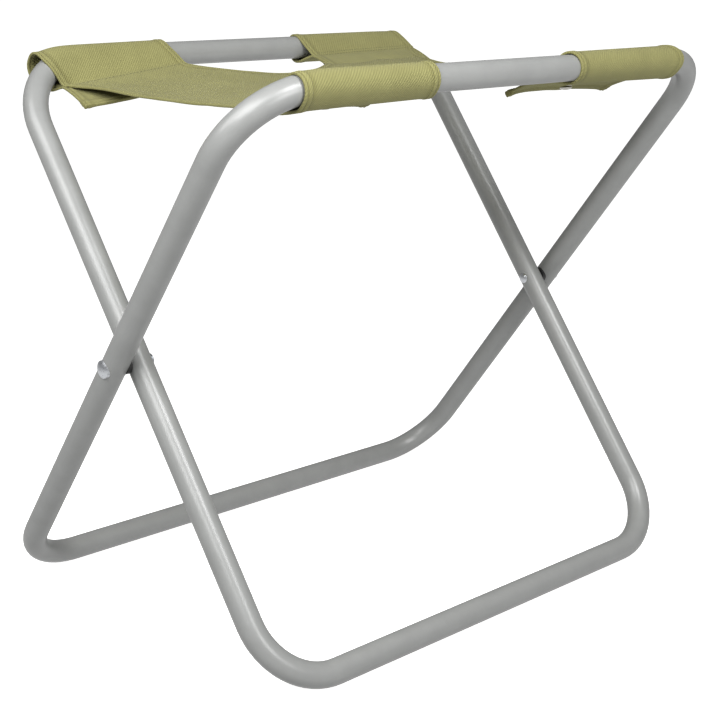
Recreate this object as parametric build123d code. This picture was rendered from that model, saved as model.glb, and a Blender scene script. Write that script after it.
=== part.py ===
"""Folding camp stool: two crossed loops of bent tube on two rivets, and a canvas seat with four sleeves.

X runs along the bars, -Y is the front and Z is up. The origin is on the floor, midway between the feet.
The outer loop's top bar is at the front and the inner loop's top bar is at the rear.
"""
from build123d import *
import os
from math import asin, cos, degrees, radians, sin

# Tube loops, in millimetres
tube_radius = 9.0
tube_wall = 1.2
loop_length = 480.0
outer_width = 440.0
inner_width = 400.0
bottom_bend_radius = 49.0
half_angle = 37.4

# Radii of the top left and top right bends of the loop whose top bar is at the front (-1) or rear (1)
top_bends = {-1: (53.0, 44.0), 1: (56.0, 56.0)}

# Spigots that join each loop's two tube ends under a left-hand sleeve
spigot_length = 60.0
spigot_wall = 1.0
spigot_x = -115.0
fit_clearance = 0.05

# Rivets and spacers at the two pivots
rivet_radius = 3.0
rivet_head_radius = 6.2
rivet_head_height = 2.0
rivet_skirt = 3.0
rivet_tail_radius = 4.2
rivet_tail_height = 1.4
spacer_radius = 6.5
spacer_horn = 2.0
running_gap = 0.3

# Canvas seat
canvas = 1.0
panel_thickness = 1.6
sleeve_gap = 0.3
seam_inset = 20.0
seam_drop = 13.0
seam_tip_radius = 1.2
panel_sag = 6.0
tab_outer_x = 178.0
tab_inner_x = 66.0
waist_x = 150.0
notch_y = 84.0
seam_gap = 0.4
flap_length = 37.0
flap_drop = 3.4

# Press studs that close the four flaps
stud_x = 118.0
stud_y = 97.0
stud_flange_radius = 4.5
stud_flange_thickness = 0.6
stud_post_radius = 1.7
stud_post_length = 1.6
socket_radius = 4.7
socket_bore_radius = 1.9
socket_thickness = 1.8
cap_radius = 5.0
cap_height = 1.7
cap_shank_radius = 1.4
cap_shank_length = 1.5
eyelet_radius = 3.9
eyelet_thickness = 0.6
touch = 0.02

# Sizes that follow from those above
tilt = radians(half_angle)
pivot_height = loop_length / 2 * cos(tilt) + tube_radius
bar_y = loop_length / 2 * sin(tilt)
bar_z = loop_length * cos(tilt) + tube_radius
seam_y = bar_y - seam_inset
seam_z = bar_z - seam_drop
panel_y = seam_y - seam_tip_radius - seam_gap
panel_radius = (panel_y**2 + panel_sag**2) / (2 * panel_sag)
panel_slope = asin(stud_y / panel_radius)
loop_gap = (outer_width - inner_width) / 2 - 2 * tube_radius
corners = {"front_left": (-1, -1), "front_right": (1, -1), "rear_left": (-1, 1), "rear_right": (1, 1)}


def loop_plane(side):
    """Plane of a loop through the pivots. side is -1 with the top bar at the front, +1 at the rear."""
    return Plane(origin=(0, 0, pivot_height), x_dir=(1, 0, 0), z_dir=(0, -cos(tilt), side * sin(tilt)))


def loop_rod(width, side, radius, bends):
    """A solid rod bent round a loop's centre line, with these two radii at its top left and right."""
    outline = Rectangle(width, loop_length)
    for end, bend in zip((0, -1), bends):
        outline = fillet(outline.vertices().group_by(Axis.Y)[-1].sort_by(Axis.X)[end], bend)
    outline = fillet(outline.vertices().group_by(Axis.Y)[0], bottom_bend_radius)
    path = loop_plane(side).location * outline.wire()
    return sweep((path ^ 0) * Circle(radius), path=path)


def along_x(radius, start, end, y=0.0, z=pivot_height):
    """A cylinder parallel to the bars."""
    length = abs(end - start)
    return Pos((start + end) / 2, y, z) * Rot(0, 90, 0) * Cylinder(radius, length)


def tube_loop(width, side):
    """One bent tube, drilled for the rivets through both legs."""
    bends = top_bends[side]
    tube = loop_rod(width, side, tube_radius, bends) - loop_rod(width, side, tube_radius - tube_wall, bends)
    reach = width / 2 + 2 * tube_radius
    return tube - along_x(rivet_radius + fit_clearance, -reach, reach)


def spigot(side):
    """Short tube inside a top bar, across the joint between the loop's two ends."""
    radius = tube_radius - tube_wall - fit_clearance
    ends = spigot_x - spigot_length / 2, spigot_x + spigot_length / 2
    y, z = side * bar_y, bar_z
    return along_x(radius, *ends, y, z) - along_x(radius - spigot_wall, *ends, y, z)


def dome(radius, height):
    """A round-topped button that stands on the XY plane."""
    ball = (radius**2 + height**2) / (2 * height)
    return Pos(0, 0, height - ball) * Sphere(ball) & Pos(0, 0, height / 2) * Cylinder(radius, height)


def outer_leg(radius):
    """The straight of the outer loop's right leg near the pivot, as a solid bar."""
    leg = Pos(outer_width / 2, 0, 0) * Rot(90, 0, 0) * Cylinder(radius, 8 * tube_radius)
    return loop_plane(-1).location * leg


def right_rivet():
    """Rivet through both right legs: a saddled head outside and a rolled tail inside."""
    outside = outer_width / 2 + tube_radius
    inside = inner_width / 2 - tube_radius - running_gap
    skirt = along_x(rivet_head_radius, outside - rivet_skirt, outside)
    head = Pos(outside, 0, pivot_height) * Rot(0, 90, 0) * dome(rivet_head_radius, rivet_head_height)
    tail = Pos(inside, 0, pivot_height) * Rot(0, -90, 0) * dome(rivet_tail_radius, rivet_tail_height)
    cap = skirt + head - outer_leg(tube_radius + touch)
    return cap + along_x(rivet_radius, inside, outside + touch) + tail


def right_spacer():
    """Plastic washer between the right legs, saddled to the outer one and flat to the inner one."""
    outer_face = outer_width / 2 - tube_radius + spacer_horn
    inner_face = outer_width / 2 - tube_radius - loop_gap + running_gap
    disc = along_x(spacer_radius, inner_face, outer_face) - outer_leg(tube_radius + touch)
    return disc - along_x(rivet_radius + fit_clearance, inner_face - 1, outer_face + 1)


def side_extrusion(profile, start, end):
    """Extrudes a profile drawn in Y and Z from x = start to x = end."""
    return Pos(start, 0, 0) * extrude(Plane.YZ * profile, amount=end - start)


def teardrop(bar_circle, tip_circle):
    """Outline of cloth pulled round the rear top bar and sewn together inboard of it."""
    circles = Pos(bar_y, bar_z) * Circle(bar_circle) + Pos(seam_y, seam_z) * Circle(tip_circle)
    return make_hull(circles.edges())


def sleeve():
    """The rear right sleeve, before it is cut to the bend of its tube."""
    inner = tube_radius + sleeve_gap
    inner_tip = seam_tip_radius - canvas
    profile = teardrop(inner + canvas, seam_tip_radius) - teardrop(inner, inner_tip)
    return side_extrusion(profile, tab_inner_x, tab_outer_x)


def panel_z(y, depth=0.0):
    """Height of the panel's top surface at y, or of a surface that far below it."""
    radius = panel_radius + depth
    return seam_z - panel_sag + panel_radius + panel_thickness / 2 - (radius**2 - y**2) ** 0.5


def hanging_arc(depth):
    """The sagging line of the panel, from front to rear."""
    ends = panel_z(panel_y, depth)
    return ThreePointArc((-panel_y, ends), (0, panel_z(0, depth)), (panel_y, ends))


def panel_outline():
    """Hourglass seen from above, with a hand gap in its front and rear edges."""
    right = ThreePointArc((tab_outer_x, -panel_y), (waist_x, 0), (tab_outer_x, panel_y))
    notch = ThreePointArc((tab_inner_x, panel_y), (0, notch_y), (-tab_inner_x, panel_y))
    rear_right = Line((tab_outer_x, panel_y), (tab_inner_x, panel_y))
    half = [right, rear_right, notch, mirror(rear_right, about=Plane.YZ)]
    return make_face(half + [mirror(right, about=Plane.YZ)] + [mirror(e, about=Plane.XZ) for e in half[1:]])


def stud_place(x_side, y_side, depth):
    """Place on the panel above a press stud, tilted with the sag, that far below the top surface."""
    tilt_angle = y_side * degrees(panel_slope)
    return Pos(x_side * stud_x, y_side * stud_y, panel_z(stud_y)) * Rot(tilt_angle, 0, 0) * Pos(0, 0, -depth)


def seat_panel():
    """The hanging panel, with a recess for each press stud's eyelet."""
    upper, lower = hanging_arc(0), hanging_arc(panel_thickness)
    profile = make_face([upper, lower, Line(upper @ 0, lower @ 0), Line(upper @ 1, lower @ 1)])
    height = 4 * panel_sag
    blank = Pos(0, 0, seam_z - height / 2) * extrude(panel_outline(), amount=height)
    panel = side_extrusion(profile, -tab_outer_x, tab_outer_x) & blank
    recess = Cylinder(eyelet_radius + fit_clearance, panel_thickness)
    for sides in corners.values():
        panel -= stud_place(*sides, panel_thickness * 1.5 - eyelet_thickness - touch) * recess
    return panel


def flap():
    """The rear right flap: cloth that goes on past the seam and lies just below the panel."""
    level = panel_z(stud_y, panel_thickness + flap_drop)
    points = [(panel_y, panel_z(panel_y, panel_thickness + canvas))]
    for y in (panel_y - flap_drop, panel_y - flap_length):
        points.append((y, level + (y - stud_y) * sin(panel_slope)))
    line = Polyline(*points)
    hole = Cylinder(cap_shank_radius + fit_clearance, 4 * canvas)
    strip = side_extrusion(trace(line, canvas), tab_inner_x, tab_outer_x)
    return strip - stud_place(1, 1, panel_thickness + flap_drop) * hole


def snap_eyelet():
    """Clinched ring inside the panel that holds the stud. Its top is at the origin."""
    return Pos(0, 0, -eyelet_thickness / 2) * Cylinder(eyelet_radius, eyelet_thickness)


def snap_stud():
    """Flange against the panel and a post that points down. Its top is at the origin."""
    flange = Pos(0, 0, -stud_flange_thickness / 2) * Cylinder(stud_flange_radius, stud_flange_thickness)
    length = stud_flange_thickness + stud_post_length
    post = Pos(0, 0, -length / 2) * Cylinder(stud_post_radius, length)
    tip = post.edges().group_by(Axis.Z)[0]
    return flange + fillet(tip, stud_post_radius / 4)


def snap_socket():
    """Ring on the flap that takes the post. Its foot is at the origin."""
    ring = Pos(0, 0, socket_thickness / 2) * Cylinder(socket_radius, socket_thickness)
    ring = fillet(ring.edges().group_by(Axis.Z)[-1], socket_thickness / 3)
    return ring - Cylinder(socket_bore_radius, 4 * socket_thickness)


def snap_cap():
    """Domed cap below the flap, with a shank up through it. The top of its rim is at the origin."""
    shank = Pos(0, 0, cap_shank_length / 2) * Cylinder(cap_shank_radius, cap_shank_length)
    return Rot(180, 0, 0) * dome(cap_radius, cap_height) + shank


def at_corner(shape, x_side, y_side):
    """Mirrors a rear right shape to another corner."""
    if x_side < 0:
        shape = mirror(shape, about=Plane.YZ)
    if y_side < 0:
        shape = mirror(shape, about=Plane.XZ)
    return shape


def left_sleeve(y_side, bend):
    """The left sleeve of the front or rear bar, open where a tube with that bend comes out of it."""
    width = inner_width if y_side > 0 else outer_width
    clearance = loop_rod(width, y_side, tube_radius + sleeve_gap, (bend, bend))
    return at_corner(sleeve(), -1, y_side) - clearance


def frame_parts():
    """Tubes, spigots, rivets and spacers by node name."""
    rivet, spacer = right_rivet(), right_spacer()
    return {
        "outer_frame_tube": tube_loop(outer_width, -1),
        "inner_frame_tube": tube_loop(inner_width, 1),
        "outer_frame_spigot": spigot(-1),
        "inner_frame_spigot": spigot(1),
        "right_pivot_rivet": rivet,
        "left_pivot_rivet": mirror(rivet, about=Plane.YZ),
        "right_pivot_spacer": spacer,
        "left_pivot_spacer": mirror(spacer, about=Plane.YZ),
    }


def corner_parts(name, x_side, y_side):
    """Sleeve, flap and press stud of one corner by node name."""
    flap_top = panel_thickness + flap_drop - canvas / 2
    pieces = {
        "snap_eyelet": (panel_thickness - eyelet_thickness, snap_eyelet()),
        "snap_stud": (panel_thickness + touch, snap_stud()),
        "snap_socket": (flap_top - touch, snap_socket()),
        "snap_cap": (flap_top + canvas + touch, snap_cap()),
    }
    nodes = {}
    for part, (depth, shape) in pieces.items():
        nodes[f"{name}_{part}"] = stud_place(x_side, y_side, depth) * shape
    bend = top_bends[y_side][x_side > 0]
    nodes[f"{name}_sleeve"] = at_corner(left_sleeve(y_side, bend), -x_side, 1)
    nodes[f"{name}_flap"] = at_corner(flap(), x_side, y_side)
    return nodes


def main():
    nodes = frame_parts()
    nodes["seat_panel"] = seat_panel()
    for name, sides in corners.items():
        nodes.update(corner_parts(name, *sides))
    os.makedirs("parts", exist_ok=True)
    for name, shape in nodes.items():
        export_step(shape, f"parts/{name}.step")


main()
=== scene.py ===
"""Looks of the folding camp stool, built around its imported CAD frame. Metres, +Z up, -Y is the front."""
import math

import bpy
import numpy as np
from mathutils import Matrix, Vector, noise


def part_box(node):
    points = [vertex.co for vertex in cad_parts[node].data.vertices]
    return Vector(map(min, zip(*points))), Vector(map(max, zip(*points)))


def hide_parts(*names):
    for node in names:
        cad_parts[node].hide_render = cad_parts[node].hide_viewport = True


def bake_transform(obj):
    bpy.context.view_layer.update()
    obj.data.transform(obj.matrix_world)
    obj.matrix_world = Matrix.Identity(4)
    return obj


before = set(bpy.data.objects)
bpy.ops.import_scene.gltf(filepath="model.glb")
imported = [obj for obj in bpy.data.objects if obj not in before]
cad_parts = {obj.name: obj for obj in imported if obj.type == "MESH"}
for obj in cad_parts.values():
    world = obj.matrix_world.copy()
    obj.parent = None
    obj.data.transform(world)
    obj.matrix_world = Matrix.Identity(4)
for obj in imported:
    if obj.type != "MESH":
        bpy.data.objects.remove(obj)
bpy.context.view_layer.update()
MM = 0.001

# ---------------------------------------------------------------- sizes

# The frame, read from the CAD. leg_in and leg_down are the direction of a leg, down from its top bar
TUBE_RADIUS = 9.0 * MM
_, outer_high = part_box("outer_frame_tube")
_, inner_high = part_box("inner_frame_tube")
bar_y = outer_high.y - TUBE_RADIUS
bar_z = outer_high.z - TUBE_RADIUS
loop_length = math.hypot(2 * bar_y, bar_z - TUBE_RADIUS)
leg_in, leg_down = 2 * bar_y / loop_length, (bar_z - TUBE_RADIUS) / loop_length
half_width = {-1: outer_high.x - TUBE_RADIUS, 1: inner_high.x - TUBE_RADIUS}

# The cloth. Lengths from a bar's axis: in = towards the middle of the seat, up = above the axis
CLOTH = 0.9 * MM
CLOTH_GAP = 0.9 * MM
SNUG_GAP = 0.6 * MM
SEAM_IN = 20.0 * MM
SEAM_Y = bar_y - SEAM_IN
ROOT_Y = SEAM_Y - 5.5 * MM
PLY_GAP = 0.55 * MM
HEM_WIDTH = 7.6 * MM
FLAP_LENGTH = 37 * MM
FLAP_FOLD = 0.8 * MM
CORNER_REACH = 14 * MM
LOOSE_REACH = 18 * MM

# Over a bend, a tab's cloth sinks below the line of the bar: how far before the bend it starts, and the
# length over which it drops by "sunk". Below the bar it follows the bend up to a share of the bend's radius
SINK_START, SINK_LENGTH = 4 * MM, 40 * MM
BEND_SHARE = 0.72
# Below a bar, the cloth is a slightly smaller arc, moved towards the seat
SLACK_SMALLER, SLACK_IN = 1.2 * MM, 1.5 * MM
# A flap drops more and more towards its end, and waves by a share of the panel's unevenness
FLAP_SAG, FLAP_WAVE = 0.4, 0.5

# The hand gap in the panel's front and rear edges: how deep, how far its deepest place is off the middle, and
# the powers of its round and of its pointed side. Beside the front right tab the gap ends bluntly
NOTCH_DEPTH = 38.6 * MM
NOTCH_SHIFT = 12 * MM
NOTCH_Y = 0.1
ROUND_SIDE, POINTED_SIDE = 0.55, 2.4
BLUNT_END, BLUNT_REACH, BLUNT_ROUND = 8.0 * MM, 8 * MM, 0.6

# The press studs: their places, the distance between panel and flap there, how far round they pull the flap,
# and their tilt, which is the slope of the panel there
SNAP_X, SNAP_Y = 118.0 * MM, 97.0 * MM
SNAP_PLIES = 3.9 * MM
SNAP_REACH = 9.5 * MM
SNAP_TILT = math.radians(4.3)

# Thickness of a hem by distance from its edge: a fold, and a groove along each of two rows of
# stitches. Also the shade painted into the cloth's colour there: darker at the edge, in both grooves and
# where the hem ends
HEM_ROWS = (2.2 * MM, 6.0 * MM)
EDGE_OFFSETS = np.array([0.0, 0.5, 1.5, 2.2, 2.9, 4.1, 5.3, 6.0, 6.7, 7.6, 8.8]) * MM
EDGE_THICKNESS = np.array([1.3, 1.9, 2.0, 0.9, 2.0, 2.1, 2.0, 0.9, 1.5, 1.1, 0.9]) * MM
EDGE_PAINTED_SHADE = np.array([0.3, 0, 0, 1, 0, 0, 0, 1, 0.2, 0.5, 0])


class Tab:
    """One corner of the seat, where the cloth goes round a bar and back under the panel.

    Lengths are given in mm. bend is the radius of the tube's bend there. inner and outer are the distances of
    the tab's two edges from the middle of the bar: at the seam, on top of the bar, on its outer side, under
    it and at the flap's end. Pairs are for the inner and outer edge, and threes for the inner edge, halfway
    and the outer edge: crown is how far the cloth stands up from the bar, under is how far its lowest line is
    below the bar's axis, seam_up is the height of the seam, and flap_in and flap_up are the place of the
    flap's end. sunk is how far the cloth drops over the bend, and the power of that drop. curl thickens the
    flap's inner corner.
    """

    def __init__(self, name, sides, bend, inner, outer, crown, under, sunk, curl, seam_up, flap_in, flap_up):
        self.name = name
        self.x_side, self.y_side = sides
        self.bend, self.curl = bend * MM, curl * MM
        self.sunk, self.sunk_power = sunk[0] * MM, sunk[1]
        self.inner, self.outer = np.array(inner) * MM, np.array(outer) * MM
        self.crown, self.under = np.array(crown) * MM, np.array(under) * MM
        self.seam_up, self.flap_in, self.flap_up = (np.array(v) * MM for v in (seam_up, flap_in, flap_up))
        self.bend_start = half_width[self.y_side] - self.bend

    def across(self, x):
        """0 at the inner edge of the seam, 1 at its outer edge."""
        return min(max((abs(x) - self.inner[0]) / (self.outer[0] - self.inner[0]), 0.0), 1.0)

    def seam_height(self, x):
        return through(self.seam_up, self.across(x))


def between(pair, t):
    return pair[0] * (1 - t) + pair[1] * t


def through(three, t):
    """A parabola through three values at 0, 0.5 and 1, read at t."""
    first, middle, last = three
    return first * (1 - t) * (1 - 2 * t) + 4 * middle * t * (1 - t) + last * t * (2 * t - 1)


tabs = {}
for tab in (
    Tab("front_left", (-1, -1), bend=53, inner=(70, 74, 74, 73, 75), outer=(177, 183, 183.5, 182, 176),
        crown=(0.2, 0), under=(12.0, 13.4), sunk=(5.6, 2), curl=0.6, seam_up=(-7, -10, -16),
        flap_in=(59, 57), flap_up=(-21.5, -19, -20)),
    Tab("front_right", (1, -1), bend=44, inner=(56, 60.5, 62.5, 62, 62), outer=(174, 170.5, 180, 175, 173.5),
        crown=(0.7, 0.9), under=(10.8, 12.4), sunk=(0, 2), curl=1.0, seam_up=(-8, -9.5, -11),
        flap_in=(58, 58), flap_up=(-22.6, -20.2, -24.5)),
    Tab("rear_left", (-1, 1), bend=56, inner=(65.5, 73, 73, 70, 68), outer=(173.5, 183.5, 184, 179.5, 174),
        crown=(0.7, -0.6), under=(11, 12), sunk=(4.6, 4), curl=0.4, seam_up=(-5.5, -11, -17.6),
        flap_in=(57, 51), flap_up=(-22, -25, -30.2)),
    Tab("rear_right", (1, 1), bend=56, inner=(62, 59.5, 61, 61, 60), outer=(176.8, 174.8, 176, 175, 172),
        crown=(0.2, 0.2), under=(11.8, 12), sunk=(0.6, 2), curl=0.6, seam_up=(-5.2, -3.6, -2.8),
        flap_in=(57, 57), flap_up=(-17, -14.4, -18)),
):
    tabs[tab.x_side, tab.y_side] = tab

# Heights of the panel above the bars' axes, in mm, in rows from front to rear, each from left to right.
# WAIST is how far the left and right edges curve in, and WAIST_ROUND the power of that curve
PANEL_X = np.array([-170, -118, -62, 0, 62, 118, 170]) * MM
PANEL_Y = np.array([-110, -90, -50, 0, 50, 90, 110]) * MM
PANEL_UP = np.array([
    [-17.2, -13.8, -11.5, -12.0, -11.2, -12.8, -13.2],
    [-18.2, -14.6, -13.5, -13.5, -14.0, -15.6, -14.0],
    [-20.4, -18.7, -17.0, -16.5, -16.0, -16.0, -14.5],
    [-22.5, -20.2, -18.2, -17.0, -16.2, -15.6, -14.0],
    [-22.3, -20.2, -17.8, -16.4, -15.0, -14.2, -13.0],
    [-18.9, -17.6, -12.5, -13.8, -10.9, -10.5, -10.8],
    [-18.2, -15.0, -9.9, -11.0, -11.3, -9.5, -7.6],
]) * MM
WAIST = {-1: 27 * MM, 1: 26 * MM}
WAIST_ROUND = 0.8


def hermite(at, knots, values):
    """A smooth curve through values at knots, read at one place."""
    slopes = np.gradient(values, knots)
    i = int(np.clip(np.searchsorted(knots, at) - 1, 0, len(knots) - 2))
    step = knots[i + 1] - knots[i]
    t = min(max((at - knots[i]) / step, 0.0), 1.0)
    lean_a, lean_b = slopes[i] * step, slopes[i + 1] * step
    rise = (3 - 2 * t) * t * t
    straight = values[i] + rise * (values[i + 1] - values[i])
    return straight + t * (1 - t) ** 2 * lean_a + (t - 1) * t * t * lean_b


def seam_line(x, y_side):
    """Height of the line of the seams at x, also across the notch between two tabs."""
    left, right = tabs[-1, y_side], tabs[1, y_side]
    if x <= -left.inner[0]:
        return left.seam_height(x)
    if x >= right.inner[0]:
        return right.seam_height(x)
    t = (x + left.inner[0]) / (left.inner[0] + right.inner[0])
    return left.seam_up[0] + (right.seam_up[0] - left.seam_up[0]) * t


def ripple(x, y):
    """Small unevenness of the cloth, with soft folds that run slantwise."""
    broad = noise.noise(Vector((x * 24, y * 16, 1.7)))
    slant = noise.noise(Vector(((x + 0.8 * y) * 62, (y - x) * 15, 7.3)))
    fine = noise.noise(Vector((x * 90, y * 70, 5.1)))
    return (0.9 * broad + 0.55 * slant + 0.15 * fine) * MM


def panel_height(x, y):
    """Height of the middle of the panel's cloth above the floor."""
    rows = [hermite(x, PANEL_X, line) for line in PANEL_UP]
    values = np.array([seam_line(x, -1), *rows, seam_line(x, 1)])
    level = hermite(y, np.array([-SEAM_Y, *PANEL_Y, SEAM_Y]), values)
    loose = min(max((SEAM_Y - abs(y)) / LOOSE_REACH, 0.0), 1.0)
    return bar_z + level + ripple(x, y) * loose


# Rows of a tab: its root and halfway to the ring, the ring round the bar, and the flap, close together at its
# hem. RING_PLACES are the shares of the ring at the seam, on top, on the outer side, under the bar and at the
# seam again
CIRCLE_SIDES = 48
RING_ROWS = 32
RING_PLACES = np.array([0, 0.3, 0.5, 0.78, 1.0])
FLAP_STEPS = np.concatenate([np.linspace(0, 0.8, 8)[1:-1], 1 - EDGE_OFFSETS[::-1] / FLAP_LENGTH])
TAB_ROWS = 2 + RING_ROWS + len(FLAP_STEPS)

# The first part of the ring is off the bar and uneven, as the panel is, along the direction RIPPLE_TILT
FREE_SHARE = 0.24
RIPPLE_TILT = np.array([0.6, 0.8])


def hull(points):
    """Convex hull of 2D points, counter-clockwise."""
    points = sorted(map(tuple, points))

    def half(ordered):
        chain = []
        for p in ordered:
            while len(chain) > 1:
                (ax, ay), (bx, by) = chain[-2], chain[-1]
                if (bx - ax) * (p[1] - ay) - (by - ay) * (p[0] - ax) > 0:
                    break
                chain.pop()
            chain.append(p)
        return chain[:-1]

    return np.array(half(points) + half(points[::-1]))


def resample(line, count):
    """The line again as count points evenly apart."""
    along = np.concatenate([[0], np.cumsum(np.linalg.norm(np.diff(line, axis=0), axis=1))])
    at = np.linspace(0, along[-1], count)
    return np.stack([np.interp(at, along, line[:, k]) for k in range(line.shape[1])], axis=1)


def bar_ring(tab, x, x_under):
    """Cloth round the bar, from the upper ply at the seam over the bar to the lower ply, as (in, up).

    It goes over the bar at x and under it at x_under.
    """
    angle = np.linspace(0, 2 * math.pi, CIRCLE_SIDES, endpoint=False)
    circle = np.stack([np.cos(angle), np.sin(angle)], axis=1)
    radius = TUBE_RADIUS + CLOTH_GAP
    t = tab.across(x)
    past_bend = max(abs(x) - tab.bend_start + SINK_START, 0.0) / SINK_LENGTH
    over_bar = circle * radius + [0, between(tab.crown, t) - tab.sunk * past_bend**tab.sunk_power]
    bend = min(max(abs(x_under) - tab.bend_start, 0.0), tab.bend * BEND_SHARE)
    flat = math.sqrt(tab.bend**2 - bend**2)
    leg, side = np.array([leg_in, -leg_down]), np.array([leg_down, leg_in])
    snug = TUBE_RADIUS + SNUG_GAP
    tube = circle[:, :1] * leg * snug * tab.bend / flat + circle[:, 1:] * side * snug
    tube = tube + leg * (tab.bend - flat)
    depth = between(tab.under, t)
    slack = circle * (radius - SLACK_SMALLER) - [-SLACK_IN, depth - radius + SLACK_SMALLER]
    up = tab.seam_height(x)
    tip = np.array([[SEAM_IN, up + PLY_GAP], [SEAM_IN, up - PLY_GAP]])
    ring = hull(np.concatenate([over_bar, tube, slack, tip]))
    ring = np.roll(ring, -int(np.argmin(np.linalg.norm(ring - tip[0], axis=1))), axis=0)
    end = int(np.argmin(np.linalg.norm(ring - tip[1], axis=1))) or len(ring)
    return resample(np.concatenate([ring[:end], tip[1:]]), RING_ROWS)


def tab_edges(tab):
    """Distances from the middle of the bar of the tab's inner and outer edges, row by row."""
    edges = []
    for places in (tab.inner, tab.outer):
        round_bar = [*places[:4], places[0]]
        ring = [hermite(turn, RING_PLACES, round_bar) for turn in np.linspace(0, 1, RING_ROWS)]
        flap = places[0] + (places[4] - places[0]) * FLAP_STEPS
        edges.append(np.array([places[0], places[0], *ring, *flap]))
    return edges


def column_steps(width, count):
    """Fractions across a tab, from its inner to its outer edge, with close columns at the hems."""
    edge = EDGE_OFFSETS / width
    middle = np.linspace(edge[-1], 1 - edge[-1], count)[1:-1]
    return np.concatenate([edge, middle, 1 - edge[::-1]])


TAB_COLUMNS = column_steps(width=110 * MM, count=30)
MIDDLE_COLUMNS = np.linspace(0, 1, 34)[1:-1]
PANEL_ROWS = 60
NOTCH_SAMPLES = 90


def flap_line(tab, x, start):
    """The flap at x, from the seam to its free end, as (in, up)."""
    t = tab.across(x)
    end_in = between(tab.flap_in, t)
    end_up = through(tab.flap_up, t)
    snap_in = bar_y - SNAP_Y
    snap_up = panel_height(tab.x_side * SNAP_X, tab.y_side * SNAP_Y) - bar_z - SNAP_PLIES

    def level(f):
        return start[1] + (end_up - start[1]) * ((1 - FLAP_SAG) * f + FLAP_SAG * f * f)

    line = []
    for f in FLAP_STEPS:
        reach = start[0] + (end_in - start[0]) * f
        away = math.hypot(abs(x) - SNAP_X, reach - snap_in) / SNAP_REACH
        pull = snap_up - level((snap_in - start[0]) / (end_in - start[0]))
        wave = ripple(x * 1.3 + 0.4, reach + tab.y_side) * FLAP_WAVE * f
        line.append((reach, level(f) + wave + (pull - wave) * math.exp(-away * away)))
    return line


def hem_thickness(away):
    """Thickness of the cloth at a distance from a hemmed edge."""
    return np.interp(away, EDGE_OFFSETS, EDGE_THICKNESS)


def hem_shade(away):
    """Painted shade in the cloth's colour at a hem's edge, grooves and end, from 0 to 1, at a distance from a
    hemmed edge.
    """
    return np.interp(away, EDGE_OFFSETS, EDGE_PAINTED_SHADE)


def tab_points(tab):
    """Points, flat cloth coordinates, thickness and painted hem shade of a tab, indexed by column and row."""
    inner, outer = tab_edges(tab)
    x = tab.x_side * (inner + np.outer(TAB_COLUMNS, outer - inner))
    points = np.zeros((len(TAB_COLUMNS), TAB_ROWS, 3))
    over, under = 2 + RING_ROWS // 2, 2 + int(RING_PLACES[3] * RING_ROWS)
    free = np.clip(1 - np.arange(RING_ROWS) / (FREE_SHARE * RING_ROWS), 0, 1)
    for i in range(len(TAB_COLUMNS)):
        root = np.array([bar_y - ROOT_Y, panel_height(x[i, 0], tab.y_side * ROOT_Y) - bar_z])
        ring = bar_ring(tab, x[i, over], x[i, under])
        for j in np.flatnonzero(free):
            uneven = ripple(x[i, 0], tab.y_side * (bar_y - ring[j, 0]))
            ring[j] += RIPPLE_TILT * uneven * math.sin(math.pi * free[j])
        line = np.array([root, (root + ring[0]) / 2, *ring, *flap_line(tab, x[i, -1], ring[-1])])
        points[i] = np.stack([x[i], tab.y_side * (bar_y - line[:, 0]), bar_z + line[:, 1]], axis=1)
    step = np.linalg.norm(np.diff(points[:, :, 1:], axis=1), axis=2)
    along = np.concatenate([np.zeros((len(TAB_COLUMNS), 1)), np.cumsum(step, axis=1)], axis=1)
    flat = np.stack([points[:, :, 0], tab.y_side * (ROOT_Y + along)], axis=2)
    edge = np.minimum(abs(points[:, :, 0]) - inner, outer - abs(points[:, :, 0]))
    end = along[:, -1:] - along
    corner = tab.curl * np.clip(1 - (abs(points[:, :, 0]) - inner) / CORNER_REACH, 0, 1)
    end_hem = np.where(end < HEM_WIDTH, hem_thickness(end) - CLOTH + FLAP_FOLD + corner, 0)
    thick = hem_thickness(edge) + end_hem
    return points, flat, thick, np.maximum(hem_shade(edge), hem_shade(end))


def notch_edge(x, y_side):
    """How far from the middle of the seat the panel reaches at x."""
    deepest = NOTCH_SHIFT * y_side
    left, right = -tabs[-1, y_side].inner[0], tabs[1, y_side].inner[0]
    a = (x - deepest) / ((right if x > deepest else left) - deepest)
    if (x > deepest) == (y_side > 0):
        cut = max(1 - a * a, 0.0) ** ROUND_SIDE
    else:
        cut = 1 - a**POINTED_SIDE
    return ROOT_Y - NOTCH_DEPTH * cut


def panel_columns(y):
    """x of every column of the panel at y from left to right, and of its two side edges."""
    t = (y / SEAM_Y + 1) / 2
    bow = max(1 - (y / SEAM_Y) ** 2, 0.0) ** WAIST_ROUND
    edge, inner = {}, {}
    for side in (-1, 1):
        front, rear = tabs[side, -1], tabs[side, 1]
        edge[side] = side * (between((front.outer[0], rear.outer[0]), t) - WAIST[side] * bow)
        inner[side] = side * between((front.inner[0], rear.inner[0]), t)
    inner[1] += BLUNT_END * max(1 - ((y - ROOT_Y) / BLUNT_REACH + 1) ** 2, 0.0) ** BLUNT_ROUND
    left = edge[-1] + (inner[-1] - edge[-1]) * (1 - TAB_COLUMNS[::-1])
    right = inner[1] + (edge[1] - inner[1]) * TAB_COLUMNS
    middle = inner[-1] + (inner[1] - inner[-1]) * MIDDLE_COLUMNS
    return np.concatenate([left, middle, right]), edge


def row_places(front, rear):
    """y of every row of the panel between its front and rear edges, close together at the hems."""
    middle = np.linspace(-front + EDGE_OFFSETS[-1], rear - EDGE_OFFSETS[-1], PANEL_ROWS)[1:-1]
    return np.concatenate([-front + EDGE_OFFSETS, middle, rear - EDGE_OFFSETS[::-1]])


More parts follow.
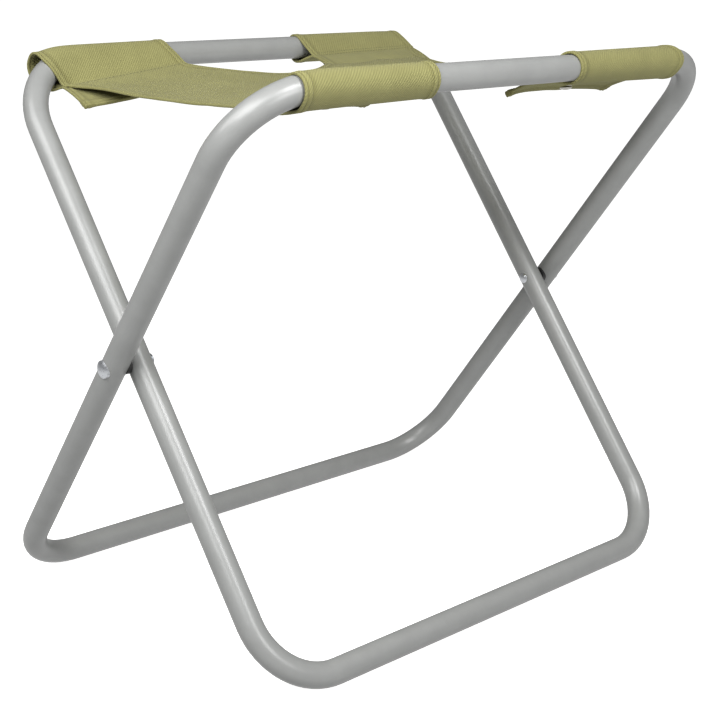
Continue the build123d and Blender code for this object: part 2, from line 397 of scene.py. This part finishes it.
def panel_points():
    """Points, flat cloth coordinates, thickness and painted hem shade of the panel, indexed by column and
    row.
    """
    columns = 2 * len(TAB_COLUMNS) + len(MIDDLE_COLUMNS)
    first, last = len(TAB_COLUMNS), columns - len(TAB_COLUMNS)
    rows = PANEL_ROWS - 2 + 2 * len(EDGE_OFFSETS)
    points = np.zeros((columns, rows, 3))
    edge_away = np.zeros((columns, rows))
    for i in range(columns):
        reach = [ROOT_Y, ROOT_Y]
        if first <= i < last:
            reach = [notch_edge(panel_columns(side * NOTCH_Y)[0][i], side) for side in (-1, 1)]
        for j, y in enumerate(row_places(*reach)):
            xs, edge = panel_columns(y)
            points[i, j] = xs[i], y, panel_height(xs[i], y)
            edge_away[i, j] = min(xs[i] - edge[-1], edge[1] - xs[i])
    for side in (-1, 1):
        across = np.linspace(-tabs[-1, side].inner[0], tabs[1, side].inner[0], NOTCH_SAMPLES)
        notch = np.array([(x, side * notch_edge(x, side)) for x in across])
        away = np.linalg.norm(points[:, :, None, :2] - notch[None, None], axis=3).min(axis=2)
        edge_away = np.minimum(edge_away, away)
    return points, points[:, :, :2].copy(), hem_thickness(edge_away), hem_shade(edge_away)


class Cloth:
    """Collects the seat's grids into one mesh, and keeps them for the stitching."""

    def __init__(self):
        # shade holds the painted shade of the hems, one value for each point of the cloth
        self.points, self.flat, self.thick, self.shade, self.faces = [], [], [], [], []
        self.grids = {}

    def add(self, name, points, flat, thick, shade, flip, shared=None):
        columns, rows = points.shape[:2]
        ids = np.zeros((columns, rows), int)
        for i in range(columns):
            for j in range(rows):
                if shared is not None and j == 0:
                    ids[i, 0] = shared[i]
                    continue
                ids[i, j] = len(self.points)
                self.points.append(points[i, j])
                self.flat.append(flat[i, j])
                self.thick.append(thick[i, j])
                self.shade.append(shade[i, j])
        for i in range(columns - 1):
            for j in range(rows - 1):
                face = (ids[i, j], ids[i + 1, j], ids[i + 1, j + 1], ids[i, j + 1])
                self.faces.append(face[::-1] if flip else face)
        across = np.gradient(points, axis=0)
        along = np.gradient(points, axis=1)
        normal = np.cross(across, along) * (-1 if flip else 1)
        normal /= np.maximum(np.linalg.norm(normal, axis=2, keepdims=True), 1e-9)
        self.grids[name] = (points, normal)
        return ids


def build_cloth():
    cloth = Cloth()
    ids = cloth.add("panel", *panel_points(), flip=False)
    count = len(TAB_COLUMNS)
    for (x_side, y_side), tab in tabs.items():
        columns = ids[:count][::-1] if x_side < 0 else ids[-count:]
        row = columns[:, 0] if y_side < 0 else columns[:, -1]
        cloth.add(tab.name, *tab_points(tab), flip=x_side * y_side < 0, shared=row)
    return cloth


def new_object(name, mesh):
    obj = bpy.data.objects.new(name, mesh)
    bpy.context.scene.collection.objects.link(obj)
    return obj


def smoothed(mesh):
    """The mesh, set to smooth shading."""
    for polygon in mesh.polygons:
        polygon.use_smooth = True
    return mesh


def applied(obj):
    """Gives obj the mesh that its modifiers make, and removes them."""
    graph = bpy.context.evaluated_depsgraph_get()
    mesh = bpy.data.meshes.new_from_object(obj.evaluated_get(graph))
    obj.modifiers.clear()
    obj.data = smoothed(mesh)
    return obj


def cloth_object(cloth):
    """The seat's mesh, given its thickness and smoothed once."""
    mesh = bpy.data.meshes.new("seat_cloth")
    mesh.from_pydata([tuple(p) for p in cloth.points], [], cloth.faces)
    layer = mesh.uv_layers.new(name="cloth")
    for loop in mesh.loops:
        layer.data[loop.index].uv = cloth.flat[loop.vertex_index]
    # Painted shade of the hems' grooves, edges and ends, for the canvas's colour
    mesh.attributes.new("hem_shade", "FLOAT", "POINT").data.foreach_set("value", cloth.shade)
    obj = new_object("seat_cloth", mesh)
    group = obj.vertex_groups.new(name="thickness")
    thickest = max(cloth.thick)
    for index, thickness in enumerate(cloth.thick):
        group.add([index], thickness / thickest, "REPLACE")
    thick = obj.modifiers.new("thick", "SOLIDIFY")
    thick.thickness = thickest
    thick.offset = 0.0
    thick.vertex_group = "thickness"
    thick.use_even_offset = False
    smooth = obj.modifiers.new("smooth", "SUBSURF")
    smooth.levels = smooth.render_levels = 1
    return applied(obj)


cloth = build_cloth()
seat_cloth = cloth_object(cloth)

# ---------------------------------------------------------------- materials


def new_material(name):
    """A material with its nodes, links and shader."""
    material = bpy.data.materials.new(name)
    material.use_nodes = True
    nodes, links = material.node_tree.nodes, material.node_tree.links
    return material, nodes, links, nodes["Principled BSDF"]


def node(nodes, kind, **values):
    """A new node, with values for its inputs or its settings."""
    made = nodes.new(kind)
    for key, value in values.items():
        if key in made.inputs:
            made.inputs[key].default_value = value
        else:
            setattr(made, key, value)
    return made


def ramp(nodes, low, high, low_colour, high_colour):
    """A colour ramp from low_colour at low to high_colour at high."""
    made = nodes.new("ShaderNodeValToRGB")
    ends = made.color_ramp.elements
    ends[0].position, ends[1].position = low, high
    ends[0].color, ends[1].color = (*low_colour, 1), (*high_colour, 1)
    return made


def painted_metal():
    """Light grey powder paint, slightly uneven and with a soft gloss."""
    material, nodes, links, shader = new_material("frame_paint")
    place = nodes.new("ShaderNodeTexCoord")
    mottle = node(nodes, "ShaderNodeTexNoise", Scale=60.0, Detail=4.0, Roughness=0.6)
    colour = ramp(nodes, 0.35, 0.7, (0.240, 0.244, 0.238), (0.262, 0.266, 0.260))
    links.new(place.outputs["Object"], mottle.inputs["Vector"])
    links.new(mottle.outputs["Fac"], colour.inputs["Fac"])
    links.new(colour.outputs["Color"], shader.inputs["Base Color"])
    peel = node(nodes, "ShaderNodeTexNoise", Scale=900.0, Detail=1.0)
    bump = node(nodes, "ShaderNodeBump", Strength=0.06, Distance=0.0002)
    links.new(place.outputs["Object"], peel.inputs["Vector"])
    links.new(peel.outputs["Fac"], bump.inputs["Height"])
    links.new(bump.outputs["Normal"], shader.inputs["Normal"])
    shader.inputs["Roughness"].default_value = 0.36
    shader.inputs["Specular IOR Level"].default_value = 0.55
    shader.inputs["Coat Weight"].default_value = 0.3
    shader.inputs["Coat Roughness"].default_value = 0.26
    return material


def plated_metal(name, colour, roughness):
    material, nodes, links, shader = new_material(name)
    place = nodes.new("ShaderNodeTexCoord")
    grain = node(nodes, "ShaderNodeTexNoise", Scale=700.0, Detail=3.0)
    rough = node(nodes, "ShaderNodeMapRange")
    rough.inputs["To Min"].default_value = roughness * 0.8
    rough.inputs["To Max"].default_value = roughness * 1.3
    tint = ramp(nodes, 0.3, 0.75, tuple(0.9 * c for c in colour), colour)
    links.new(place.outputs["Object"], grain.inputs["Vector"])
    links.new(grain.outputs["Fac"], rough.inputs["Value"])
    links.new(grain.outputs["Fac"], tint.inputs["Fac"])
    links.new(tint.outputs["Color"], shader.inputs["Base Color"])
    links.new(rough.outputs["Result"], shader.inputs["Roughness"])
    shader.inputs["Metallic"].default_value = 1.0
    return material


def moulded_plastic():
    material, nodes, links, shader = new_material("spacer_plastic")
    place = nodes.new("ShaderNodeTexCoord")
    grain = node(nodes, "ShaderNodeTexNoise", Scale=1500.0, Detail=2.0)
    bump = node(nodes, "ShaderNodeBump", Strength=0.15, Distance=0.0001)
    tint = ramp(nodes, 0.3, 0.8, (0.012, 0.012, 0.012), (0.022, 0.022, 0.022))
    links.new(place.outputs["Object"], grain.inputs["Vector"])
    links.new(grain.outputs["Fac"], bump.inputs["Height"])
    links.new(grain.outputs["Fac"], tint.inputs["Fac"])
    links.new(tint.outputs["Color"], shader.inputs["Base Color"])
    links.new(bump.outputs["Normal"], shader.inputs["Normal"])
    shader.inputs["Roughness"].default_value = 0.5
    return material


RIB_PITCH = 1.6 * MM
RIB_ANGLE = math.radians(42)
YARN_PITCH = 0.62 * MM


def canvas_twill():
    """Twill canvas: slanting ribs over fine yarns, uneven dye, painted shade where the weave's relief is low,
    and painted shade along the hems' grooves.
    """
    material, nodes, links, shader = new_material("seat_canvas")
    place = nodes.new("ShaderNodeUVMap")
    place.uv_map = "cloth"
    turn = node(nodes, "ShaderNodeMapping")
    turn.inputs["Rotation"].default_value = (0, 0, RIB_ANGLE)
    ribs = node(nodes, "ShaderNodeTexWave", Scale=2 * math.pi / (20 * RIB_PITCH), Distortion=0.25)
    ribs.inputs["Detail"].default_value = 1.0
    ribs.inputs["Detail Scale"].default_value = 1.5
    yarn = node(nodes, "ShaderNodeTexWave", Scale=2 * math.pi / (20 * YARN_PITCH), Distortion=0.3)
    yarn.bands_direction = "Y"
    cloud = node(nodes, "ShaderNodeTexNoise", Scale=28.0, Detail=5.0, Roughness=0.65)
    links.new(place.outputs["UV"], turn.inputs["Vector"])
    links.new(turn.outputs["Vector"], ribs.inputs["Vector"])
    links.new(place.outputs["UV"], yarn.inputs["Vector"])
    links.new(place.outputs["UV"], cloud.inputs["Vector"])
    relief = node(nodes, "ShaderNodeMath", operation="MULTIPLY_ADD")
    relief.inputs[1].default_value = 0.35
    links.new(yarn.outputs["Fac"], relief.inputs[0])
    links.new(ribs.outputs["Fac"], relief.inputs[2])
    ground = ramp(nodes, 0.25, 0.75, (0.218, 0.208, 0.082), (0.262, 0.252, 0.101))
    links.new(cloud.outputs["Fac"], ground.inputs["Fac"])
    # Painted shade: the colour is darker where the weave's relief is low, between ribs and yarns
    depth = ramp(nodes, 0.0, 0.9, (0.87, 0.87, 0.85), (1.0, 1.0, 1.0))
    links.new(relief.outputs["Value"], depth.inputs["Fac"])
    mixed = node(nodes, "ShaderNodeMix", data_type="RGBA", blend_type="MULTIPLY")
    mixed.inputs["Factor"].default_value = 1.0
    links.new(ground.outputs["Color"], mixed.inputs["A"])
    links.new(depth.outputs["Color"], mixed.inputs["B"])
    # Painted shade: the colour is darker along the hems' grooves, at their edges and where they end
    grooves = nodes.new("ShaderNodeAttribute")
    grooves.attribute_name = "hem_shade"
    dim = ramp(nodes, 0.0, 1.0, (1.0, 1.0, 1.0), (0.66, 0.64, 0.56))
    links.new(grooves.outputs["Fac"], dim.inputs["Fac"])
    hemmed = node(nodes, "ShaderNodeMix", data_type="RGBA", blend_type="MULTIPLY")
    hemmed.inputs["Factor"].default_value = 1.0
    links.new(mixed.outputs["Result"], hemmed.inputs["A"])
    links.new(dim.outputs["Color"], hemmed.inputs["B"])
    links.new(hemmed.outputs["Result"], shader.inputs["Base Color"])
    bump = node(nodes, "ShaderNodeBump", Strength=0.7, Distance=0.00037)
    links.new(relief.outputs["Value"], bump.inputs["Height"])
    links.new(bump.outputs["Normal"], shader.inputs["Normal"])
    shader.inputs["Roughness"].default_value = 0.82
    shader.inputs["Sheen Weight"].default_value = 0.05
    shader.inputs["Sheen Roughness"].default_value = 0.45
    shader.inputs["Specular IOR Level"].default_value = 0.25
    return material


def thread_material():
    material, nodes, links, shader = new_material("seat_thread")
    place = nodes.new("ShaderNodeTexCoord")
    twist = node(nodes, "ShaderNodeTexNoise", Scale=2500.0, Detail=2.0)
    tint = ramp(nodes, 0.3, 0.7, (0.095, 0.090, 0.032), (0.125, 0.120, 0.045))
    links.new(place.outputs["Object"], twist.inputs["Vector"])
    links.new(twist.outputs["Fac"], tint.inputs["Fac"])
    links.new(tint.outputs["Color"], shader.inputs["Base Color"])
    shader.inputs["Roughness"].default_value = 0.6
    return material


paint = painted_metal()
zinc = plated_metal("rivet_zinc", (0.72, 0.74, 0.77), 0.28)
steel = plated_metal("spigot_steel", (0.45, 0.45, 0.45), 0.45)
nickel = plated_metal("snap_nickel", (0.62, 0.60, 0.55), 0.30)
plastic = moulded_plastic()
canvas = canvas_twill()
thread = thread_material()

# ---------------------------------------------------------------- stitching

STITCH = 2.3 * MM
STITCH_PITCH = 3.1 * MM
THREAD = 0.24 * MM
THREAD_SIDES = 6
THREAD_FLATNESS = 1.15
# A stitch from end to end: share of its length, height of its middle and its radius, both in thread radii
THREAD_PROFILE = [
    (0.0, -1.2, 0.35), (0.14, -0.1, 0.95), (0.5, 0.2, 1.0), (0.86, -0.1, 0.95), (1.0, -1.2, 0.35),
]
# Rows of a tab's grid that carry the seam to the panel
SEAM_ROWS = (1.0, 2.2)


def grid_read(grid, column, row):
    """Bilinear reading of a grid at fractional column and row numbers."""
    i = min(int(column), grid.shape[0] - 2)
    j = min(int(row), grid.shape[1] - 2)
    s, t = column - i, row - j
    low = grid[i, j] * (1 - s) + grid[i + 1, j] * s
    high = grid[i, j + 1] * (1 - s) + grid[i + 1, j + 1] * s
    return low * (1 - t) + high * t


def seam_track(name, start, end, samples=160):
    """A line on a grid from one (column, row) to another, as points and normals."""
    points, normals = cloth.grids[name]
    at = [
        (start[0] + (end[0] - start[0]) * k / samples, start[1] + (end[1] - start[1]) * k / samples)
        for k in range(samples + 1)
    ]
    return np.array([grid_read(points, *p) for p in at]), np.array([grid_read(normals, *p) for p in at])


def stitches(track, side, lift):
    """Stitch ends along a track, on the outer (1) or inner (-1) face."""
    points, normals = track
    points = points + normals * side * lift
    step = np.linalg.norm(np.diff(points, axis=0), axis=1)
    along = np.concatenate([[0], np.cumsum(step)])
    found = []
    for k in range(int((along[-1] - STITCH) / STITCH_PITCH) + 1):
        ends = []
        for at in (k * STITCH_PITCH, k * STITCH_PITCH + STITCH):
            ends.append([np.interp(at, along, points[:, axis]) for axis in range(3)])
        middle = [np.interp(k * STITCH_PITCH + STITCH / 2, along, normals[:, axis]) for axis in range(3)]
        found.append((np.array(ends[0]), np.array(ends[1]), np.array(middle) * side))
    return found


def thread_mesh(name, found):
    """One mesh of all the stitches, each a short length of thread that dips in at both ends."""
    verts, faces = [], []
    sides = THREAD_SIDES
    for start, end, normal in found:
        along = end - start
        along /= max(np.linalg.norm(along), 1e-9)
        normal = normal - along * (normal @ along)
        normal /= max(np.linalg.norm(normal), 1e-9)
        across = np.cross(normal, along)
        base = len(verts)
        for t, rise, scale in THREAD_PROFILE:
            centre = start + (end - start) * t + normal * rise * THREAD
            for k in range(sides):
                a = 2 * math.pi * k / sides
                turned = across * math.cos(a) * THREAD_FLATNESS + normal * math.sin(a)
                verts.append(centre + turned * THREAD * scale)
        rings = len(THREAD_PROFILE)
        for ring in range(rings - 1):
            for k in range(sides):
                a, b = base + ring * sides + k, base + ring * sides + (k + 1) % sides
                faces.append((a, b, b + sides, a + sides))
        faces.append([base + k for k in range(sides)][::-1])
        faces.append([base + (rings - 1) * sides + k for k in range(sides)])
    mesh = bpy.data.meshes.new(name)
    mesh.from_pydata([tuple(v) for v in verts], [], faces)
    return new_object(name, smoothed(mesh))


def offset_number(offset):
    """Fractional column or row number of a distance from the edge."""
    return float(np.interp(offset, EDGE_OFFSETS, range(len(EDGE_OFFSETS))))


def all_stitches():
    """Every stitch of the hems and of the four seams, on both faces of the cloth."""
    hem_lift, ply_lift = float(hem_thickness(HEM_ROWS[0])) / 2, CLOTH / 2
    points = cloth.grids["panel"][0]
    columns, rows = points.shape[:2]
    first, last = len(TAB_COLUMNS), columns - len(TAB_COLUMNS) - 1
    tracks = []
    for offset in HEM_ROWS:
        k = offset_number(offset)
        for column in (k, columns - 1 - k):
            tracks.append((seam_track("panel", (column, 0), (column, rows - 1)), hem_lift))
        for row in (k, rows - 1 - k):
            tracks.append((seam_track("panel", (first - 1, row), (last + 1, row)), hem_lift))
        # The rows along a flap's sides and end stop short of each other at its corners
        for tab in tabs.values():
            tab_columns, tab_rows = cloth.grids[tab.name][0].shape[:2]
            for column in (k, tab_columns - 1 - k):
                tracks.append((seam_track(tab.name, (column, 0), (column, tab_rows - 1.6)), hem_lift))
            row = tab_rows - 1 - k
            tracks.append((seam_track(tab.name, (1.4, row), (tab_columns - 2.4, row)), hem_lift))
    for tab in tabs.values():
        tab_columns = cloth.grids[tab.name][0].shape[0]
        for row in SEAM_ROWS:
            tracks.append((seam_track(tab.name, (1.0, row), (tab_columns - 2.0, row)), ply_lift))
    found = []
    for track, lift in tracks:
        for side in (-1, 1):
            found += stitches(track, side, lift)
    return found


seat_stitching = thread_mesh("seat_stitching", all_stitches())
seat_stitching.data.materials.append(thread)
seat_cloth.data.materials.clear()
seat_cloth.data.materials.append(canvas)

# ---------------------------------------------------------------- press studs


def lathe(name, profile, place, tilt, steps=40):
    """A turned piece from (radius, height) points, tilted about X and put at place.

    A profile that starts on the axis is a solid button, and any other is a ring.
    """
    verts, faces = [], []
    for radius, height in profile:
        for k in range(steps):
            a = 2 * math.pi * k / steps
            verts.append((radius * math.cos(a), radius * math.sin(a), height))
    for ring in range(len(profile) - 1):
        for k in range(steps):
            a, b = ring * steps + k, ring * steps + (k + 1) % steps
            faces.append((a, b, b + steps, a + steps))
    last = (len(profile) - 1) * steps
    if profile[0][0] < 0.1 * MM:
        faces.append(list(range(steps))[::-1])
        faces.append(list(range(last, last + steps)))
    else:
        faces += [(last + k, last + (k + 1) % steps, (k + 1) % steps, k) for k in range(steps)]
    mesh = bpy.data.meshes.new(name)
    mesh.from_pydata(verts, [], faces)
    mesh.transform(Matrix.Translation(place) @ Matrix.Rotation(tilt, 4, "X"))
    return new_object(name, smoothed(mesh))


def joined(name, pieces):
    """One object from several, at the origin."""
    verts, faces = [], []
    for piece in pieces:
        base = len(verts)
        verts += [tuple(v.co) for v in piece.data.vertices]
        faces += [[base + v for v in polygon.vertices] for polygon in piece.data.polygons]
        bpy.data.objects.remove(piece)
    mesh = bpy.data.meshes.new(name)
    mesh.from_pydata(verts, [], faces)
    return new_object(name, smoothed(mesh))


def in_metres(points):
    return [(radius * MM, height * MM) for radius, height in points]


CAP = in_metres([
    (0.05, -1.75), (1.2, -1.7), (2.5, -1.5), (3.6, -1.15), (4.4, -0.7), (4.85, -0.2),
    (5.0, 0.25), (4.9, 0.5), (4.6, 0.55), (4.3, 0.45), (0.05, 0.45),
])
CAP_SEAT = 0.45 * MM
SOCKET = in_metres([
    (1.9, 0.0), (1.9, 1.5), (2.1, 1.8), (2.5, 1.85), (2.8, 1.6), (3.1, 1.2),
    (3.5, 1.15), (3.9, 1.35), (4.3, 1.3), (4.65, 0.9), (4.7, 0.4), (4.6, 0.0),
])
STUD = in_metres([
    (0.05, -2.2), (0.9, -2.2), (1.5, -2.0), (1.75, -1.6), (1.7, -1.2), (1.5, -0.9),
    (1.9, -0.62), (3.2, -0.6), (4.2, -0.5), (4.5, -0.2), (4.5, 0.05), (0.05, 0.05),
])


def press_stud(tab):
    """Cap, socket and stud in one piece."""
    x, y = tab.x_side * SNAP_X, tab.y_side * SNAP_Y
    panel_mid = panel_height(x, y)
    panel_under = panel_mid - CLOTH / 2
    flap_mid = panel_mid - SNAP_PLIES
    tilt = tab.y_side * SNAP_TILT
    pieces = [
        lathe("cap", CAP, (x, y, flap_mid - CLOTH / 2 - CAP_SEAT), tilt),
        lathe("socket", SOCKET, (x, y, flap_mid + CLOTH / 2), tilt),
        lathe("stud", STUD, (x, y, panel_under), tilt),
    ]
    stud = joined(f"{tab.name}_press_stud", pieces)
    stud.data.materials.append(nickel)
    return stud


press_studs = {tab.name: press_stud(tab) for tab in tabs.values()}

# ---------------------------------------------------------------- finishes, and what replaces the CAD's cloth and press studs

finishes = {"_frame_tube": paint, "_spigot": steel, "_rivet": zinc, "_spacer": plastic}
for name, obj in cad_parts.items():
    for ending, material in finishes.items():
        if name.endswith(ending):
            obj.data.materials.clear()
            obj.data.materials.append(material)

cloth_nodes = ["seat_panel"] + [f"{tab.name}_{part}" for tab in tabs.values() for part in ("sleeve", "flap")]
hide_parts(*cloth_nodes)
for name, stud in press_studs.items():
    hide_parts(*[f"{name}_{part}" for part in ("snap_cap", "snap_socket", "snap_stud", "snap_eyelet")])
for piece in (seat_cloth, seat_stitching, *press_studs.values()):
    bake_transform(piece)


# ---------------------------------------------------------------- floor, light and camera


def add_floor():
    """A pale floor that lights neither the stool nor its reflections."""
    bpy.ops.mesh.primitive_circle_add(vertices=96, radius=30.0, fill_type="NGON")
    floor = bpy.context.object
    floor.name = "floor"
    material, nodes, links, shader = new_material("floor_pale")
    place = nodes.new("ShaderNodeTexCoord")
    cloud = node(nodes, "ShaderNodeTexNoise", Scale=2.0, Detail=2.0)
    tint = ramp(nodes, 0.2, 0.8, (0.79, 0.79, 0.785), (0.81, 0.81, 0.805))
    links.new(place.outputs["Object"], cloud.inputs["Vector"])
    links.new(cloud.outputs["Fac"], tint.inputs["Fac"])
    links.new(tint.outputs["Color"], shader.inputs["Base Color"])
    links.new(tint.outputs["Color"], shader.inputs["Emission Color"])
    shader.inputs["Emission Strength"].default_value = 1.12
    shader.inputs["Roughness"].default_value = 0.9
    floor.data.materials.append(material)
    floor.visible_diffuse = False
    floor.visible_glossy = False


# Strength of the even light from above and from below the horizon, and the lights: place, radius and power
SKY_ABOVE, SKY_BELOW = 0.24, 0.80
LIT_POINT = Vector((0, 0, 0.25))
LIGHTS = {
    "front_high": ((-0.15, -0.78, 1.06), 0.22, 7.6),
    "front_low": ((-0.15, -1.10, 0.62), 0.22, 4.0),
    "left_near": ((-0.80, -0.43, 0.91), 0.32, 7.6),
    "left_far": ((-0.87, 0.09, 0.96), 0.35, 5.4),
}


def add_light(name, place, radius, power):
    """A round soft light that faces the stool."""
    light = bpy.data.lights.new(name, "AREA")
    light.shape = "DISK"
    light.size = 2 * radius
    light.energy = power
    obj = bpy.data.objects.new(name, light)
    bpy.context.scene.collection.objects.link(obj)
    obj.location = place
    obj.rotation_euler = (LIT_POINT - Vector(place)).to_track_quat("-Z", "Y").to_euler()


def add_world():
    """Even light from all sides, stronger from below."""
    world = bpy.data.worlds.new("studio")
    world.use_nodes = True
    nodes, links = world.node_tree.nodes, world.node_tree.links
    place = nodes.new("ShaderNodeTexCoord")
    split = nodes.new("ShaderNodeSeparateXYZ")
    shade = node(nodes, "ShaderNodeMapRange")
    shade.inputs["From Min"].default_value, shade.inputs["From Max"].default_value = -0.45, 0.1
    shade.inputs["To Min"].default_value, shade.inputs["To Max"].default_value = SKY_BELOW, SKY_ABOVE
    links.new(place.outputs["Generated"], split.inputs["Vector"])
    links.new(split.outputs["Z"], shade.inputs["Value"])
    links.new(shade.outputs["Result"], nodes["Background"].inputs["Strength"])
    nodes["Background"].inputs["Color"].default_value = (1, 1, 1, 1)
    bpy.context.scene.world = world


CAMERA_PLACE = Vector((-0.7095, -0.7766, 0.4627))
CAMERA_YAW = math.radians(42.50)
CAMERA_PITCH = math.radians(15.90)
CAMERA_ROLL = math.radians(0.26)
CAMERA_LENS = 70.72


def add_camera():
    """A view from the front left and slightly above."""
    camera = bpy.data.cameras.new("camera")
    camera.lens = CAMERA_LENS
    camera.sensor_width = 36.0
    obj = bpy.data.objects.new("camera", camera)
    bpy.context.scene.collection.objects.link(obj)
    turn = Matrix.Rotation(-CAMERA_YAW, 4, "Z") @ Matrix.Rotation(math.pi / 2 - CAMERA_PITCH, 4, "X")
    obj.matrix_world = Matrix.Translation(CAMERA_PLACE) @ turn @ Matrix.Rotation(CAMERA_ROLL, 4, "Z")
    bpy.context.scene.camera = obj


add_floor()
add_world()
for name, (place, radius, power) in LIGHTS.items():
    add_light(name, place, radius, power)
add_camera()
bpy.context.scene.view_settings.view_transform = "Standard"

bpy.context.view_layer.update()
